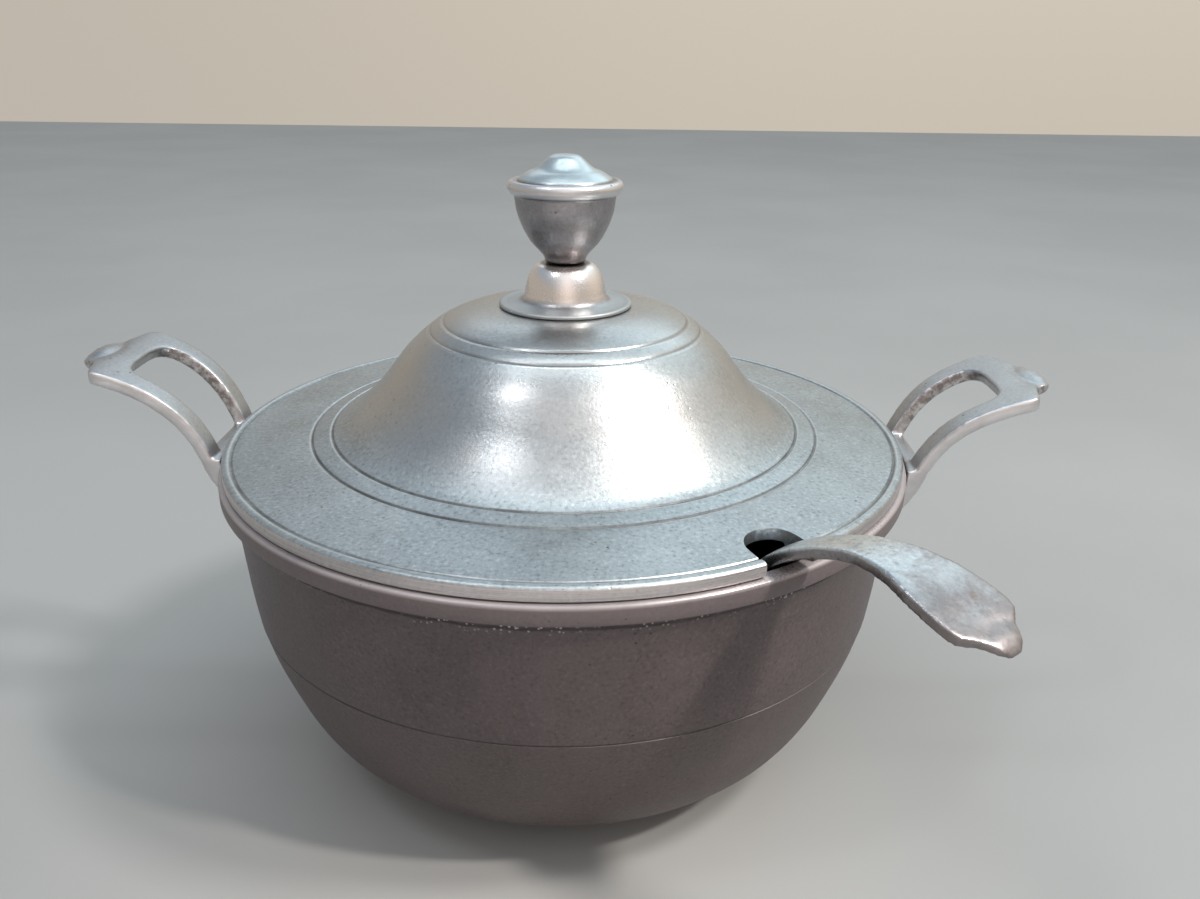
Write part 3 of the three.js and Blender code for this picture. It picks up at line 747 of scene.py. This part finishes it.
# ---- studio -------------------------------------------------------------------------------------------------------------
floor = make("floor", [(-3, -3, -0.0003), (3, -3, -0.0003), (3, 3, -0.0003), (-3, 3, -0.0003)], [(0, 1, 2, 3)], mm=False)
fm, nt, fb = nodes_of("pale_floor")
fg = G(nt)
nt.links.new(fg.mix(fg.ramp(fg.noise(3, 3), 0.4, 0.6), c(0.335, 0.328, 0.318), c(0.355, 0.348, 0.338)), fb.inputs["Base Color"])
fb.inputs["Roughness"].default_value = 0.75
floor.data.materials.append(fm)

world = bpy.data.worlds.new("studio")
scene.world = world
world.use_nodes = True
wn = world.node_tree
wn.nodes.clear()
wo = wn.nodes.new("ShaderNodeOutputWorld")
bg = wn.nodes.new("ShaderNodeBackground")
tc = wn.nodes.new("ShaderNodeTexCoord")
sp = wn.nodes.new("ShaderNodeSeparateXYZ")
rp = wn.nodes.new("ShaderNodeMapRange")
wn.links.new(tc.outputs["Generated"], sp.inputs[0])
wn.links.new(sp.outputs[2], rp.inputs[0])
rp.inputs[1].default_value, rp.inputs[2].default_value = 0.18, 0.60
rp.interpolation_type = "SMOOTHSTEP"
wall_mix = wn.nodes.new("ShaderNodeMix")
wall_mix.data_type = "RGBA"
wn.links.new(rp.outputs[0], wall_mix.inputs[0])
wall_mix.inputs[6].default_value = (0.60, 0.545, 0.47, 1)
wall_mix.inputs[7].default_value = (0.44, 0.52, 0.60, 1)
sky = wall_mix.outputs[2]
# broad soft glows of a lit room: azimuth, elevation, tightness, colour
for az, el, tight, glow in ((18, 37, 5.0, (0.66, 0.57, 0.46)), (-84, 56, 9.0, (0.88, 0.82, 0.78)), (-80, 22, 12.0, (0.75, 0.62, 0.55)), (80, 20, 9.0, (0.20, 0.17, 0.12)), (50, 46, 12.0, (0.28, 0.58, 0.70))):
    az, el = math.radians(az), math.radians(el)
    dot = wn.nodes.new("ShaderNodeVectorMath")
    dot.operation = "DOT_PRODUCT"
    wn.links.new(tc.outputs["Generated"], dot.inputs[0])
    dot.inputs[1].default_value = (math.cos(az) * math.cos(el), math.sin(az) * math.cos(el), math.sin(el))
    clip = wn.nodes.new("ShaderNodeMath")
    clip.operation = "MAXIMUM"
    wn.links.new(dot.outputs["Value"], clip.inputs[0])
    clip.inputs[1].default_value = 0.0
    power = wn.nodes.new("ShaderNodeMath")
    power.operation = "POWER"
    wn.links.new(clip.outputs[0], power.inputs[0])
    power.inputs[1].default_value = tight
    add = wn.nodes.new("ShaderNodeMix")
    add.data_type = "RGBA"
    add.blend_type = "ADD"
    wn.links.new(power.outputs[0], add.inputs[0])
    wn.links.new(sky, add.inputs[6])
    add.inputs[7].default_value = glow + (1,)
    sky = add.outputs[2]
wn.links.new(sky, bg.inputs[0])
bg.inputs[1].default_value = 0.85
wn.links.new(bg.outputs[0], wo.inputs[0])


def lamp(name, direction, distance, size, power, color, target=(0, 0, 0.14)):
    li = bpy.data.lights.new(name, "AREA")
    li.shape = "RECTANGLE"
    li.size, li.size_y = size
    li.energy = power
    li.color = color
    ob = bpy.data.objects.new(name, li)
    d = Vector(direction).normalized()
    ob.location = Vector(target) + d * distance
    ob.rotation_euler = (-d).to_track_quat("-Z", "Y").to_euler()
    scene.collection.objects.link(ob)
    return ob


lamp("key", (0.56, -0.22, 0.80), 1.5, (0.22, 0.26), 12.5, (1.0, 0.975, 0.94))
lamp("second", (-0.40, -0.33, 0.84), 1.6, (0.14, 0.30), 2.5, (0.95, 0.97, 1.0))
lamp("overhead", (0.0, 0.02, 1.0), 1.5, (1.5, 0.16), 4.5, (0.80, 0.94, 1.0))
apron = lamp("apron", (0.0, -0.02, 1.0), 0.55, (0.7, 0.28), 1.6, (1.0, 0.96, 0.97), target=(-0.02, -0.56, 0.0))
apron.data.spread = math.radians(68)
beam = bpy.data.objects.new("beam", bpy.data.lights.new("beam", "SPOT"))
beam.data.energy = 62.0
beam.data.color = (1.0, 0.95, 0.88)
beam.data.spot_size = math.radians(10.5)
beam.data.spot_blend = 1.0
beam.data.shadow_soft_size = 0.05
aim = Vector((0.60, -0.32, 0.73)).normalized()
beam.location = Vector((0.045, -0.105, 0.085)) + aim * 1.5
beam.rotation_euler = (-aim).to_track_quat("-Z", "Y").to_euler()
scene.collection.objects.link(beam)
lamp("back", (0.1, 0.8, 0.66), 2.2, (2.4, 0.7), 5.0, (0.82, 0.93, 1.0))

# ---- camera -------------------------------------------------------------------------------------------------------------
F, D, H, PITCH, YAW, ROLL, TURN = 1040.0, 373.27, 139.35, 0.37757, 0.03551, 0.01151, math.radians(2.789)
fwd = Vector((math.sin(YAW) * math.cos(PITCH), math.cos(YAW) * math.cos(PITCH), -math.sin(PITCH)))
right = Vector((math.cos(YAW), -math.sin(YAW), 0))
up0 = right.cross(fwd)
r2 = math.cos(ROLL) * right + math.sin(ROLL) * up0
u2 = -math.sin(ROLL) * right + math.cos(ROLL) * up0
turn = Matrix.Rotation(TURN, 3, "Z")
r2, u2, fwd = turn @ r2, turn @ u2, turn @ fwd
pos = turn @ Vector((0, -D, H)) + Vector((0, 0, LID_PLANE))
cam = bpy.data.cameras.new("camera")
cam.sensor_fit = "HORIZONTAL"
cam.sensor_width = 36.0
cam.lens = F / 1200.0 * 36.0
cam.clip_start = 0.01
cam.clip_end = 50
co_ = bpy.data.objects.new("camera", cam)
m = Matrix((r2, u2, -fwd)).transposed().to_4x4()
m.translation = pos * MM
co_.matrix_world = m
scene.collection.objects.link(co_)
scene.camera = co_
scene.view_settings.view_transform = "Standard"
scene.view_settings.look = "None"

bpy.context.view_layer.update()
